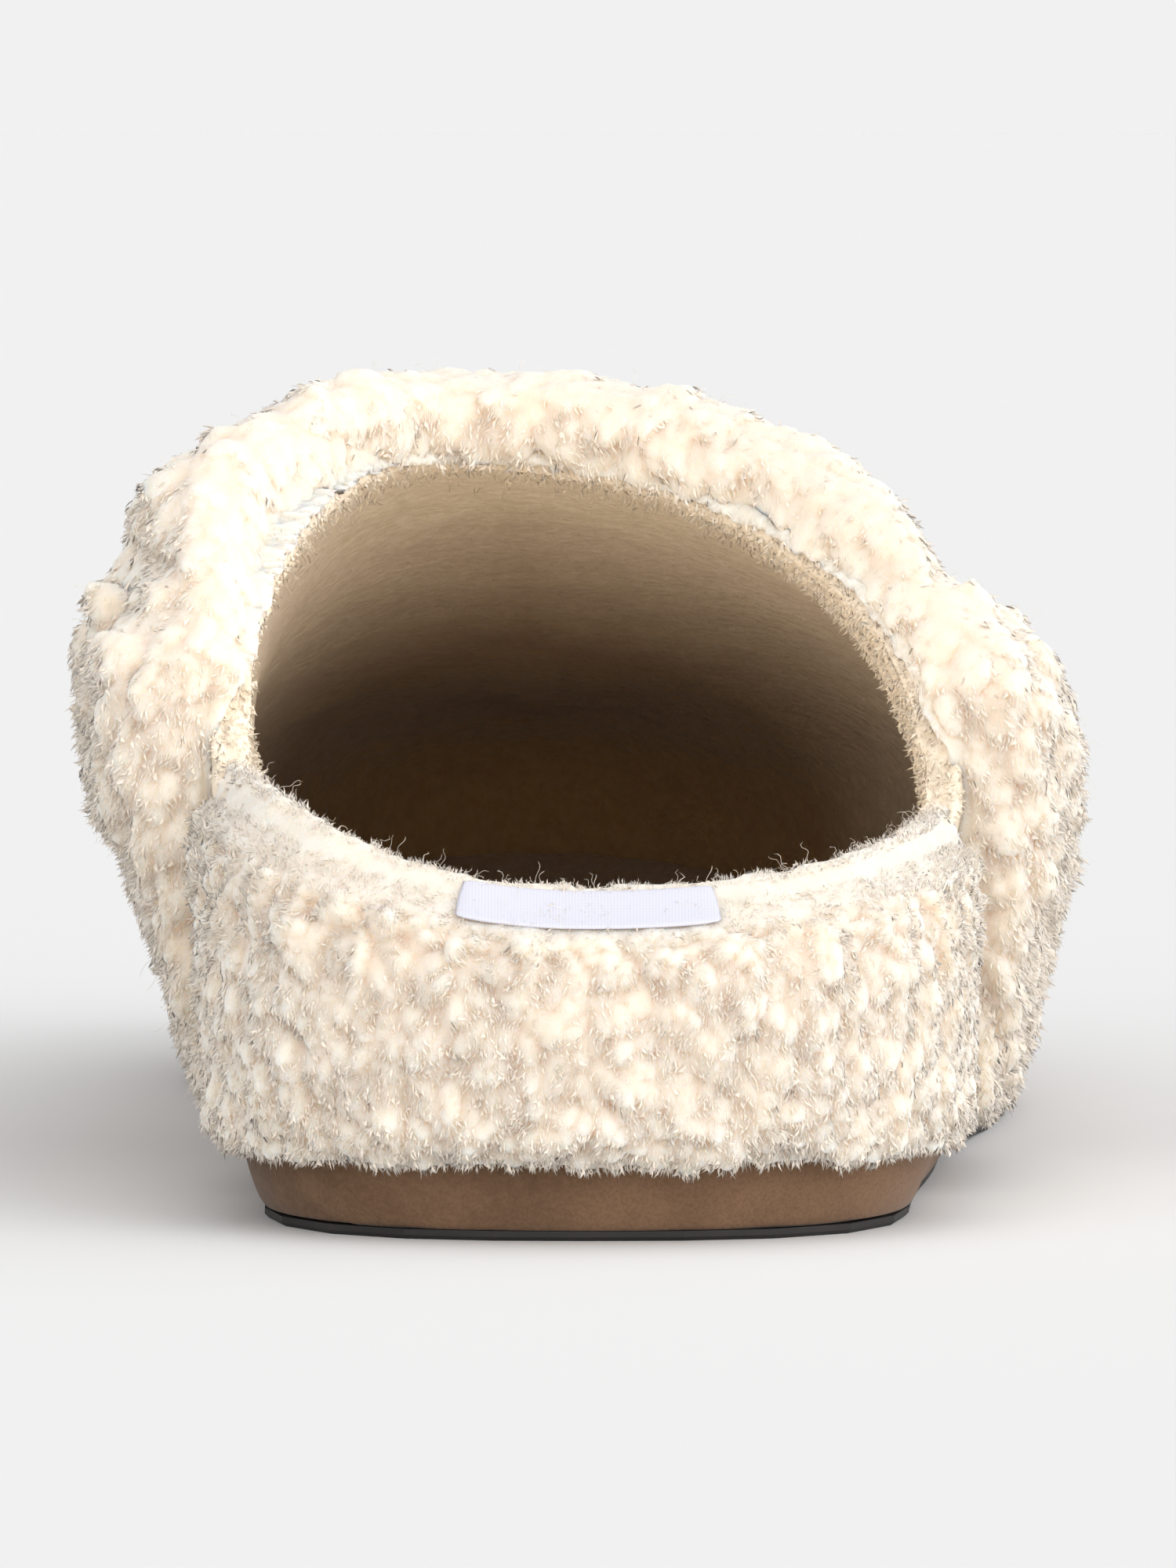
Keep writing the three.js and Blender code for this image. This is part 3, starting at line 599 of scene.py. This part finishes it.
class Pelt:
    """Wool of one solid: its skin raised into soft clumps, with fine hairs over them."""

    def __init__(self, node, seed, voxel):
        self.random = np.random.default_rng(seed)
        skin = remeshed(shape_to_object(merged_shape(node), node + "_wool"), voxel)
        self.body = subdivided(skin, 1)
        self.fleece = Fleece(self.body.data, self.random)
        wall = tree_of("upper")
        places, normals = self.fleece.places, self.fleece.normals
        near = [wall.find_nearest(p) for p in places]
        self.away = np.array([hit[3] for hit in near])
        outward = (unit(places - np.array([hit[0] for hit in near])) * normals).sum(axis=1)
        rear = rise(-normals[:, 1], 0.2, 0.6) * rise(self.away, 0.5 * MM, 1.5 * MM)
        self.outward = np.maximum(np.clip(outward * 1.6, 0, 1), rear)

    def lift(self, way, reach):
        """Move the outer side of the skin one way by a reach at each vertex."""
        grow = reach * self.outward
        move_vertices(self.body.data, self.fleece.places + np.array(way) * grow[:, None])
        self.fleece = Fleece(self.body.data, self.random)

    def clumps(self, pitch, stretch, lean):
        """Height and tone of drop-shaped clumps at each vertex, fullest near their tips."""
        random = self.random
        fleece = self.fleece
        tries = int(fleece.area / pitch**2 * 3.2)
        seeds, normals = fleece.spread(tries, np.ones(len(fleece.places)), pitch)
        way = unit(lean(seeds, normals) + random.normal(0, 0.28, (len(seeds), 3)))
        lift = random.uniform(0.6, 1.0, len(seeds))
        shade = random.random(len(seeds))
        finder = finder_of(seeds)
        near = np.array([[hit[1] for hit in finder.find_n(p, 6)] for p in fleece.places])
        apart = fleece.places[:, None] - seeds[near]
        along = (apart * way[near]).sum(axis=2)
        far = (apart**2).sum(axis=2) - along**2 * (1 - 1 / stretch**2)
        best = far.argmin(axis=1)[:, None]
        owner = np.take_along_axis(near, best, axis=1)[:, 0]
        along = np.take_along_axis(along, best, axis=1)[:, 0] / (pitch * stretch)
        far = np.take_along_axis(far, best, axis=1)[:, 0] / (pitch * 0.72) ** 2
        height = np.clip(1 - far, 0, 1) * (1 + 0.7 * np.clip(along, -0.6, 0.6)) * lift[owner]
        return height, shade[owner]

    def raise_clumps(self, scales, lean, pile, sink, lump, hang, seed, floor, raised):
        """Push the skin out into clumps, where pile is above 0.

        scales: pitch, stretch and height of each size of clump. lean: way that the pile lies. sink:
        how far the skin first goes in. lump: height of broad swells. hang: how far each vertex's
        clumps hang along the pile. floor: lowest the wool may reach. raised: lift of its lower edge.
        """
        fleece = self.fleece
        places, normals = fleece.places, fleece.normals
        swirl = np.array([noise.noise_vector(Vector(p) / (9 * MM)) for p in places])
        way = unit(lean(places, normals) + swirl * 0.5)
        out = lumpy(places, 9 * MM, seed) * lump - sink
        tone = np.zeros(len(places))
        tint = np.zeros(len(places))
        drift = np.zeros(len(places))
        for pitch, stretch, tall in scales:
            height, shade = self.clumps(pitch, stretch, lean)
            out += height * tall
            drift += height * tall
            tone += height / len(scales)
            tint += shade / len(scales)
        grow = (pile * self.outward)[:, None]
        shift = normals * out[:, None] + way * (drift * hang)[:, None]
        fine = lumpy(places, 1.6 * MM, seed + 1) * 0.14 * MM * self.outward
        fill = (1 - self.outward) * (1 - rise(self.away, 2 * MM, 3 * MM)) * 0.8 * MM
        moved = places + shift * grow + normals * (fine + fill)[:, None]
        moved[:, 2] = np.maximum(moved[:, 2], np.minimum(places[:, 2], floor))
        ragged = lumpy(places * (1, 1, 0), 3.2 * MM, seed + 2) * 0.8 * MM + raised
        moved[:, 2] += ragged * (1 - rise(places[:, 2], 8 * MM, 15 * MM))
        mesh = self.body.data
        move_vertices(mesh, moved)
        # Painted shade: Red holds the clump height, so the hollows take the root colour.
        tone = tone * grow[:, 0] + 0.8 * (1 - grow[:, 0])
        paint_vertices(mesh, np.stack([tone, tint, tint], axis=1))
        self.coat = Fleece(mesh, self.random)
        return self.body

    def grow_hairs(self, name, count, weight, lean, long, radius, stand):
        """Fine bent hairs that follow the clumps."""
        roots, normals = self.coat.sample(count, weight)
        swirl = np.array([noise.noise_vector(Vector(p) / (3 * MM)) for p in roots])
        lie = unit(lean(roots, normals) + swirl * 0.9)
        reach = long(roots, normals)
        return hair_mesh(name, self.random, roots, normals, lie, reach, radius, stand)

    def grow_strays(self, name, count, weight, radius):
        """Loose curly hairs that stand off the pile."""
        random = self.random
        roots, normals = self.coat.sample(count, weight)
        way = unit(normals + random.normal(0, 0.45, (count, 3)))
        side = unit(np.cross(way, random.normal(0, 1, (count, 3))))
        other = np.cross(way, side)
        reach = (STRAY_HAIR * random.uniform(0.5, 1.2, count))[:, None]
        phase = random.uniform(0, 2 * math.pi, count)
        turns = random.uniform(0.8, 2.0, count)
        loose = (STRAY_HAIR * random.uniform(0.06, 0.16, count))[:, None]
        spine = []
        for t in np.linspace(0, 1, 8):
            angle = phase + turns * t * 2 * math.pi
            curl = side * np.cos(angle)[:, None] + other * np.sin(angle)[:, None]
            droop = np.array((0, 0, -1)) * t**2 * reach * 0.25
            spine.append(roots + way * reach * t + curl * loose * t**0.5 + droop)
        thick = radius * random.uniform(0.6, 1.1, count)
        tone = np.stack([np.full(count, 0.8), random.random(count), random.random(count)], axis=1)
        return tube_mesh(name, spine, [thick] * 7, 3, [tone] * 8)


def hair_mesh(name, random, roots, normals, lie, long, radius, stand):
    """Fine bent hairs, each a slim closed sliver. lie: way they lie. stand: how much they stand off."""
    count = len(roots)
    rear = stand * random.uniform(0.2, 1.8, (count, 1))
    way = unit(lie + normals * rear + random.normal(0, 0.25, (count, 3)))
    bend = unit(lie + normals * rear * 0.3 + random.normal(0, 0.45, (count, 3)))
    reach = (long * random.uniform(0.6, 1.3, count))[:, None]
    root = roots - normals * 0.1 * MM
    middle = root + way * reach * 0.5
    tip = middle + bend * reach * 0.5
    thick = (radius * random.uniform(0.75, 1.25, count))[:, None]
    side = unit(np.cross(tip - root, middle - (root + tip) / 2)) * thick
    up = unit(np.cross(tip - root, side)) * thick
    left, right = middle + side - up * 0.5, middle - side - up * 0.5
    places = np.stack([root + up * 0.5, left, right, tip + up * 0.5], 1)
    faces = [(0, 1, 2), (3, 2, 1), (0, 3, 1), (0, 2, 3)]
    index = (np.array(faces)[None] + (np.arange(count) * 4)[:, None, None]).reshape(-1, 3)
    tuft = random.random(count)
    # Painted shade: each hair is darker toward its root, like the hollows of the clumps.
    along = (0.5, 0.8, 0.8, 1.0)
    tones = np.stack([np.stack([np.full(count, t), tuft, tuft], axis=1) for t in along], axis=1)
    made = joined_mesh(name, places.reshape(-1, 3), index, tones.reshape(-1, 3))
    side, up = side / thick * 0.9, up / thick * 0.9
    facing = np.stack([normals + up, normals + side - up * 0.4, normals - side - up * 0.4, normals + up], 1)
    made.data.normals_split_custom_set_from_vertices(unit(facing.reshape(-1, 3)).tolist())
    return made


# Operators


class SLIPPER_OT_sole(bpy.types.Operator):
    """Black rubber outsole and suede-wrapped midsole"""

    bl_idname = "slipper.sole"
    bl_label = "Sole"

    def execute(self, context):
        suede = context.scene.suede
        band = suede_material("band_suede", suede.band[:])
        midsole = subdivided(shape_to_object(creased(merged_shape("midsole")), "midsole_band"), 2)
        places = vertices_of(midsole.data)
        places[:, 2] -= 0.25 * MM * (1 - rise(places[:, 2], 1.5 * MM, 3 * MM))
        move_vertices(midsole.data, places)
        ride(midsole, "suede_band", band, "midsole")
        rubber = rubber_material("outsole_rubber", suede.rubber[:])
        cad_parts["outsole"].data.materials.clear()
        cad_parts["outsole"].data.materials.append(rubber)
        return {"FINISHED"}


class SLIPPER_OT_upper(bpy.types.Operator):
    """Sheepskin upper: suede outside, shorn wool inside, soft flex creases over the toes"""

    bl_idname = "slipper.upper"
    bl_label = "Upper"

    def execute(self, context):
        suede = context.scene.suede
        wool = context.scene.wool
        shape = merged_shape("upper")
        outside = outer_faces(shape)
        for face in shape.faces:
            face.material_index = 0 if face in outside else 1
        piece = shape_to_object(shape, "upper_sheepskin")
        piece.data.materials.append(suede_material("upper_suede", suede.upper[:]))
        piece.data.materials.append(lining_material("lining_wool", wool.lining[:], wool.lining_painted_shade[:]))
        subdivided(piece, 2)
        self.line(piece.data)
        self.crease(piece.data)
        ride(piece, "suede_upper", None, "upper")
        return {"FINISHED"}

    def line(self, mesh):
        """Give the suede that lies under the heel panel and the cuff the lining's wool."""
        covers = [tree_of("heel_panel"), tree_of("cuff")]
        for face in mesh.polygons:
            if face.normal.z < -0.3 and face.center.z < 22 * MM:
                face.material_index = 0
            start = face.center + face.normal * 0.05 * MM + Vector((0, 3 * MM, 0))
            for cover in covers:
                under = cover.ray_cast(start, face.normal, 3 * MM)[0] is not None
                beside = face.center.y < 30 * MM and cover.find_nearest(face.center)[3] < 4 * MM
                if under or beside:
                    face.material_index = 1

    def crease(self, mesh):
        """Flex troughs across the ball outside and soft lumps of wool inside."""
        places = vertices_of(mesh)
        normals = normals_of(mesh)
        inside = np.zeros(len(places), bool)
        for face in mesh.polygons:
            if face.material_index:
                inside[face.vertices] = True
        depth = np.zeros(len(places))
        for y, slant, deep, width in TROUGHS:
            line = y + slant * (places[:, 0] + MIDDLE) + 4 * MM * np.sin(places[:, 0] * 55.0)
            away = (places[:, 1] - line) / (width * MM)
            fade = rise(places[:, 2], 30 * MM, 50 * MM)
            depth += (deep * np.exp(-away**2) - 0.35 * deep * np.exp(-(away - 2.1) ** 2)) * fade
        depth += lumpy(places, 26 * MM, 4) * 0.6 + lumpy(places, 9 * MM, 12) * 0.15
        depth = np.minimum(depth, TROUGH_LIMIT)
        soft = lumpy(places, 5 * MM, 5) * 0.35 + lumpy(places, 2.6 * MM, 6) * 0.2
        back = 1 - rise(places[:, 1], 40 * MM, 60 * MM)
        outward = rise((places[:, :2] * normals[:, :2]).sum(axis=1), 0.0, 8 * MM)
        soft -= back * rise(places[:, 2], 38 * MM, 44 * MM) * outward * 1.3
        lip = back * rise(-normals[:, 1], 0.2, 0.6) * rise(places[:, 2], 38 * MM, 44 * MM)
        soft += lip * lumpy(places, 2.2 * MM, 9) * 0.9
        depth = np.where(inside, soft, depth)
        move_vertices(mesh, places - normals * (depth * MM)[:, None])


def outer_faces(shape):
    """Faces of the upper's outside: those reached from its toe without crossing a sharp edge."""
    shape.faces.ensure_lookup_table()
    tree = BVHTree.FromBMesh(shape)
    hit = tree.ray_cast(Vector((-0.01, 0.12, 0.2)), Vector((0, 0, -1)))
    start = shape.faces[hit[2]]
    found = {start}
    queue = [start]
    limit = math.radians(50)
    while queue:
        face = queue.pop()
        for edge in face.edges:
            if len(edge.link_faces) != 2 or edge.calc_face_angle() > limit:
                continue
            for other in edge.link_faces:
                if other not in found:
                    found.add(other)
                    queue.append(other)
    # Slivers have unsteady normals, so those of the vamp are taken in by their neighbours
    vamp = [face for face in shape.faces if face.calc_center_median().y > 100 * MM]
    grown = True
    while grown:
        grown = False
        for face in vamp:
            near = [other for edge in face.edges for other in edge.link_faces if other is not face]
            if face not in found and sum(other in found for other in near) > 1:
                found.add(face)
                grown = True
    return found


class SLIPPER_OT_lining(bpy.types.Operator):
    """Wool of the footbed, and short curls just inside the opening"""

    bl_idname = "slipper.lining"
    bl_label = "Lining"

    def execute(self, context):
        wool = context.scene.wool
        footbed = subdivided(shape_to_object(merged_shape("insole"), "footbed"), 2)
        mesh = footbed.data
        places, normals = vertices_of(mesh), normals_of(mesh)
        top = rise(normals[:, 2], 0.5, 0.9)
        lumps = lumpy(places, 3.0 * MM, 6) * 0.3 * MM - 0.3 * MM
        move_vertices(mesh, places + normals * (lumps * top)[:, None])
        # The footbed takes the lining's painted shade, darker toward the toe.
        skin = lining_material("footbed_wool", wool.lining[:], wool.lining_painted_shade[:])
        ride(footbed, "wool_footbed", skin, "insole")

        random = np.random.default_rng(31)
        wall = Fleece(bpy.data.objects["upper_sheepskin"].data, random)
        middle = wall.places * (0, 1, 0) + (-4 * MM, 0, 35 * MM)
        inward = ((middle - wall.places) * wall.normals).sum(axis=1) > 0
        weight = inward * (1 - rise(wall.places[:, 1], 50 * MM, 85 * MM)) * (wall.places[:, 2] > 24 * MM)
        lip = rise(-wall.normals[:, 1], 0.2, 0.6) * (wall.places[:, 2] > 42 * MM)
        weight = weight + 3 * lip * (wall.places[:, 1] < 60 * MM)
        roots, normals = wall.sample(wool.lining_hairs, weight)
        lie = np.tile((0.0, -0.12, -0.25), (len(roots), 1))
        hairs = hair_mesh("lining_hairs", random, roots, normals, lie, LINING_HAIR, wool.hair_radius, 0.4)
        shade = tuple(v * 0.85 for v in wool.lining)
        ride(hairs, "suede_upper", hair_material("lining_hairs", wool.lining[:], shade))
        return {"FINISHED"}


class SLIPPER_OT_heel(bpy.types.Operator):
    """Wool of the heel panel: soft clumps behind, shorn slope up to the rim"""

    bl_idname = "slipper.heel"
    bl_label = "Heel wool"

    def execute(self, context):
        wool = context.scene.wool
        pelt = Pelt("heel_panel", seed=11, voxel=0.93 * MM)
        places, normals = pelt.fleece.places, pelt.fleece.normals
        away = (unit(places * (1, 1, 0)) * normals).sum(axis=1)
        shorn = rise(normals[:, 2], 0.5, 0.75) * (1 - rise(pelt.away, 4.2 * MM, 6 * MM))
        pile = rise(away, -0.2, 0.2) * (1 - shorn)

        def lean(places, normals):
            high = rise(places[:, 2], 27 * MM, 38 * MM)[:, None]
            return (0.0, -0.1, -0.9) * (1 - high) + (0.0, -0.35, 0.35) * high

        body = pelt.raise_clumps(
            HEEL_CLUMPS, lean, pile, sink=1.1 * MM, lump=0.6 * MM, hang=0.45, seed=3,
            floor=WOOL_FLOOR, raised=1.5 * MM,
        )
        ride(body, "wool_heel", fleece_material("heel_wool", wool.tip[:], wool.root[:]), "heel_panel")
        coat = pelt.coat
        wall = distances(tree_of("upper"), coat.places)
        shown = (wall > BARE) * 1.0

        def long(places, normals):
            return HEEL_HAIR - 0.4 * MM * rise(normals[:, 2], 0.6, 0.85)

        hairs = pelt.grow_hairs("heel_hairs", wool.heel_hairs, shown, lean, long, wool.hair_radius, 0.3)
        material = hair_material("heel_hairs", wool.tip[:], wool.root[:])
        ride(hairs, "wool_heel", material)
        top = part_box("heel_panel")[1].z
        rim = shown * rise(coat.places[:, 2], top - 13 * MM, top - 11 * MM)
        rim = rim * rise(coat.normals[:, 2], 0.3, 0.7) * rise(-wall, -6 * MM, -3 * MM)
        strays = pelt.grow_strays("heel_strays", wool.strays, rim + 1e-4, wool.hair_radius * 0.6)
        ride(strays, "wool_heel", material)
        return {"FINISHED"}


class SLIPPER_OT_cuff(bpy.types.Operator):
    """Wool of the folded cuff: two side lobes and the arch over the instep"""

    bl_idname = "slipper.cuff"
    bl_label = "Cuff wool"

    def execute(self, context):
        wool = context.scene.wool
        pelt = Pelt("cuff", seed=21, voxel=1.3 * MM)

        def lean(places, normals):
            rear = rise(-normals[:, 1], 0.1, 0.6)[:, None]
            out = np.sign(places[:, :1] + 6 * MM) * (0.3, 0.0, 0.0)
            return (0.0, 0.1, -0.6) * (1 - rear) + (0.0, -0.1, -1.0) * rear + out

        far = np.linalg.norm(pelt.fleece.places - SHOULDER, axis=1) / (15 * MM)
        pelt.lift((-0.95, -0.05, 0.3), 5 * MM * np.exp(-far**2))
        places, normals = pelt.fleece.places, pelt.fleece.normals
        arch = rise(places[:, 2], 58 * MM, 68 * MM) * rise(-normals[:, 1], 0.2, 0.7)
        body = pelt.raise_clumps(
            CUFF_CLUMPS, lean, pile=1.0, sink=1.4 * MM, lump=0.9 * MM, hang=0.45 + 0.5 * arch, seed=8,
            floor=WOOL_FLOOR, raised=0.5 * MM,
        )
        ride(body, "wool_cuff", fleece_material("cuff_wool", wool.tip[:], wool.root[:]), "cuff")
        coat = pelt.coat
        wall = distances(tree_of("upper"), coat.places)
        shown = (wall > BARE) * 1.0
        inner = coat.places[:, 0] < -6 * MM
        material = hair_material("cuff_hairs", wool.tip[:], wool.root[:])

        def long(places, normals):
            return np.full(len(places), CUFF_HAIR)

        for name, part in {"cuff_hairs_inner": inner, "cuff_hairs_outer": ~inner}.items():
            hairs = pelt.grow_hairs(name, wool.cuff_hairs, shown * part, lean, long, wool.hair_radius, 0.3)
            ride(hairs, "wool_cuff", material)
        strays = pelt.grow_strays("cuff_strays", wool.strays, shown, wool.hair_radius * 0.6)
        ride(strays, "wool_cuff", material)
        return {"FINISHED"}


class SLIPPER_OT_label(bpy.types.Operator):
    """Plain woven label on the slope behind the rim"""

    bl_idname = "slipper.label"
    bl_label = "Label"

    def execute(self, context):
        tape = tape_material("label_tape", context.scene.label.tape[:])
        piece = subdivided(shape_to_object(merged_shape("label"), "label_tape"), 1)
        wool = Fleece(bpy.data.objects["heel_panel_wool"].data, None)
        slope = BVHTree.FromPolygons(wool.places.tolist(), wool.corners.tolist())
        places, normals = vertices_of(piece.data), normals_of(piece.data)
        under = normals[:, 2] < -0.3
        up = unit(normals[normals[:, 2] > 0.3].mean(axis=0)[None])[0]
        drop = np.median(distances(slope, places[under]))
        move_vertices(piece.data, places - up * (drop - 0.1 * MM))
        ride(piece, "label_tape", tape, "label")
        return {"FINISHED"}


class SLIPPER_OT_stage(bpy.types.Operator):
    """Pale floor, soft light and the photo's camera"""

    bl_idname = "slipper.stage"
    bl_label = "Stage"

    def execute(self, context):
        stage = context.scene.stage
        shape = bmesh.new()
        bmesh.ops.create_grid(shape, x_segments=1, y_segments=1, size=30.0)
        floor = shape_to_object(shape, "floor")
        paint = Paint("floor_paint")
        matte = paint.finish(Base_Color=stage.floor[:], Roughness=0.9, Specular_IOR_Level=0.0)
        floor.data.materials.append(matte)

        context.scene.world = self.studio(stage)
        lamp = bpy.data.lights.new("key", "SUN")
        lamp.energy = stage.key
        lamp.angle = math.radians(50)
        key = bpy.data.objects.new("key", lamp)
        key.rotation_euler = Vector(KEY_WAY).to_track_quat("Z", "Y").to_euler()
        context.scene.collection.objects.link(key)

        glow = bpy.data.lights.new("fill", "POINT")
        glow.energy = stage.fill
        glow.color = (1.0, 0.93, 0.84)
        glow.shadow_soft_size = 20 * MM
        fill = bpy.data.objects.new("fill", glow)
        fill.location = FILL_PLACE
        fill.visible_camera = False
        context.scene.collection.objects.link(fill)

        lens = bpy.data.cameras.new("camera")
        lens.lens = stage.lens
        lens.sensor_width = 36.0
        lens.sensor_fit = "AUTO"
        lens.clip_end = 100.0
        camera = bpy.data.objects.new("camera", lens)
        camera.location = (0.0, CAD_BOX[0][1] - stage.distance, stage.height)
        camera.rotation_euler = (math.pi / 2 - stage.pitch, 0.0, 0.0)
        context.scene.collection.objects.link(camera)
        context.scene.camera = camera
        context.scene.view_settings.view_transform = "Standard"
        return {"FINISHED"}

    def studio(self, stage):
        """Even light, level with the floor's tone ahead, that grows to the right and behind the camera."""
        paint = Paint("studio", "ShaderNodeBackground", "ShaderNodeOutputWorld")
        way = paint.node("ShaderNodeTexCoord", {}, {}, "Generated")
        high = paint.node("ShaderNodeSeparateXYZ", {}, {"Vector": way}, "Z")
        right = paint.node("ShaderNodeSeparateXYZ", {}, {"Vector": way}, "X")
        front = paint.node("ShaderNodeSeparateXYZ", {}, {"Vector": way}, "Y")
        seen = paint.ramp(front, 0.85, 0.95) * paint.ramp(high, 0.2, 0.1)
        side = paint.ramp(right, -0.4, 0.8)
        facing = paint.ramp(front, -0.2, -0.9)
        shape = side * 0.6 + facing * 1.7 + 0.58
        glow = seen * (1.0 - shape) + shape
        return paint.finish(Color=(1.0, 1.0, 1.0), Strength=glow * stage.sky)


PIECES = (
    SLIPPER_OT_sole,
    SLIPPER_OT_upper,
    SLIPPER_OT_lining,
    SLIPPER_OT_heel,
    SLIPPER_OT_cuff,
    SLIPPER_OT_label,
    SLIPPER_OT_stage,
)
GROUPS = {"wool": WoolSettings, "suede": SuedeSettings, "label": LabelSettings, "stage": StageSettings}


class SLIPPER_PT_panel(bpy.types.Panel):
    """Lists the steps that make the slipper's pieces"""

    bl_idname = "SLIPPER_PT_panel"
    bl_label = "Slipper"
    bl_space_type = "VIEW_3D"
    bl_region_type = "UI"
    bl_category = "Slipper"

    def draw(self, context):
        for piece in PIECES:
            self.layout.operator(piece.bl_idname)


def register():
    for name, group in GROUPS.items():
        bpy.utils.register_class(group)
        setattr(bpy.types.Scene, name, PointerProperty(type=group))
    for piece in PIECES:
        bpy.utils.register_class(piece)
    bpy.utils.register_class(SLIPPER_PT_panel)


def unregister():
    bpy.utils.unregister_class(SLIPPER_PT_panel)
    for piece in reversed(PIECES):
        bpy.utils.unregister_class(piece)
    for name, group in GROUPS.items():
        delattr(bpy.types.Scene, name)
        bpy.utils.unregister_class(group)


def main():
    register()
    for piece in PIECES:
        group, step = piece.bl_idname.split(".")
        getattr(getattr(bpy.ops, group), step)()


if __name__ == "__main__":
    main()
